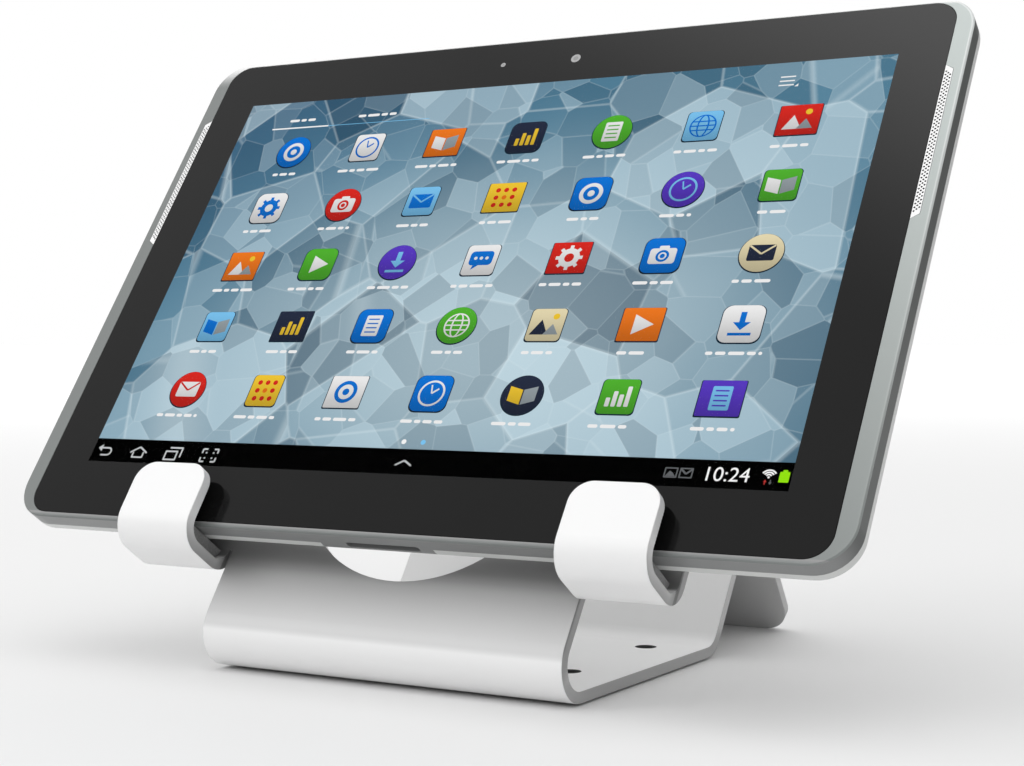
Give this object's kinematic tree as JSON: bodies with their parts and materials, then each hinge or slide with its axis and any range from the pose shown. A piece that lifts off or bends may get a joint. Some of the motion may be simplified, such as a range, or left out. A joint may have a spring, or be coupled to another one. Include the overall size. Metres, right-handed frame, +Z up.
{
  "type": "tablet kiosk stand with tablet",
  "caption": "Folded-sheet tabletop kiosk stand: back plate with round cut-out, two U-hooks, screw-down base and rear leg, holding a tablet that lifts out.",
  "frame": {"origin": "centre of the pattern of four screw holes in the base, on the surface that the stand rests on", "axes": "+Z up, square to that surface; +X to the user's right; +Y away from the user, towards the rear leg"},
  "size_m": [0.2566, 0.1561, 0.1823],
  "materials": {
    "frame_coat": "smooth satin powder coat",
    "pad_rubber": "matt",
    "cover_plastic": "glossy",
    "rim_plastic": "satin",
    "screen_glass": "polished, printed black border",
    "display": "lit display",
    "bare_aluminium": "stamped",
    "cell_foil": "foil pouch",
    "circuit_board": "solder mask",
    "shield_steel": "tinned",
    "flex_film": "film",
    "black_plastic": "matt",
    "grille_plastic": "satin, perforated",
    "ring_chrome": "polished",
    "key_plastic": "satin"
  },
  "bodies": {
    "stand": {"folded_frame": "frame_coat", "base_pad": "pad_rubber", "hook_pad_left": "pad_rubber", "hook_pad_right": "pad_rubber", "back_pads": "pad_rubber"},
    "tablet": {"back_cover": "cover_plastic", "side_frame": "rim_plastic", "cover_glass": "screen_glass", "display_panel": "display", "mid_frame": "bare_aluminium", "battery_left": "cell_foil", "battery_right": "cell_foil", "main_board": "circuit_board", "shield_cans": "shield_steel", "dock_connector": "shield_steel", "dock_board": "circuit_board", "dock_flex": "flex_film", "speaker_left": "black_plastic", "speaker_right": "black_plastic", "speaker_grille_left": "grille_plastic", "speaker_grille_right": "grille_plastic", "front_camera": "black_plastic", "light_sensor": "black_plastic", "rear_camera": "black_plastic", "rear_camera_ring": "ring_chrome", "rear_camera_window": "screen_glass", "key_board": "circuit_board", "headset_jack": "black_plastic", "antennas": "bare_aluminium"},
    "power_key": {"power_button": "key_plastic"},
    "volume_key": {"volume_rocker": "key_plastic"}
  },
  "joints": [
    {"name": "tablet_lift_out", "type": "slide", "parent": "stand", "child": "tablet", "axis": [0, 0.5707, 0.8211], "range_m": [0, 0.15]},
    {"name": "power_press", "type": "slide", "parent": "tablet", "child": "power_key", "axis": [0, -0.5707, -0.8211], "range_m": [0, 0.0004], "stiffness_N_per_m": 2000},
    {"name": "volume_rock", "type": "hinge", "parent": "tablet", "child": "volume_key", "pos_m": [-0.072, 0.04633, 0.1788], "axis": [0, -0.8211, 0.5707], "range_deg": [-1.2, 1.2], "stiffness_Nm_per_rad": 0.5}
  ]
}
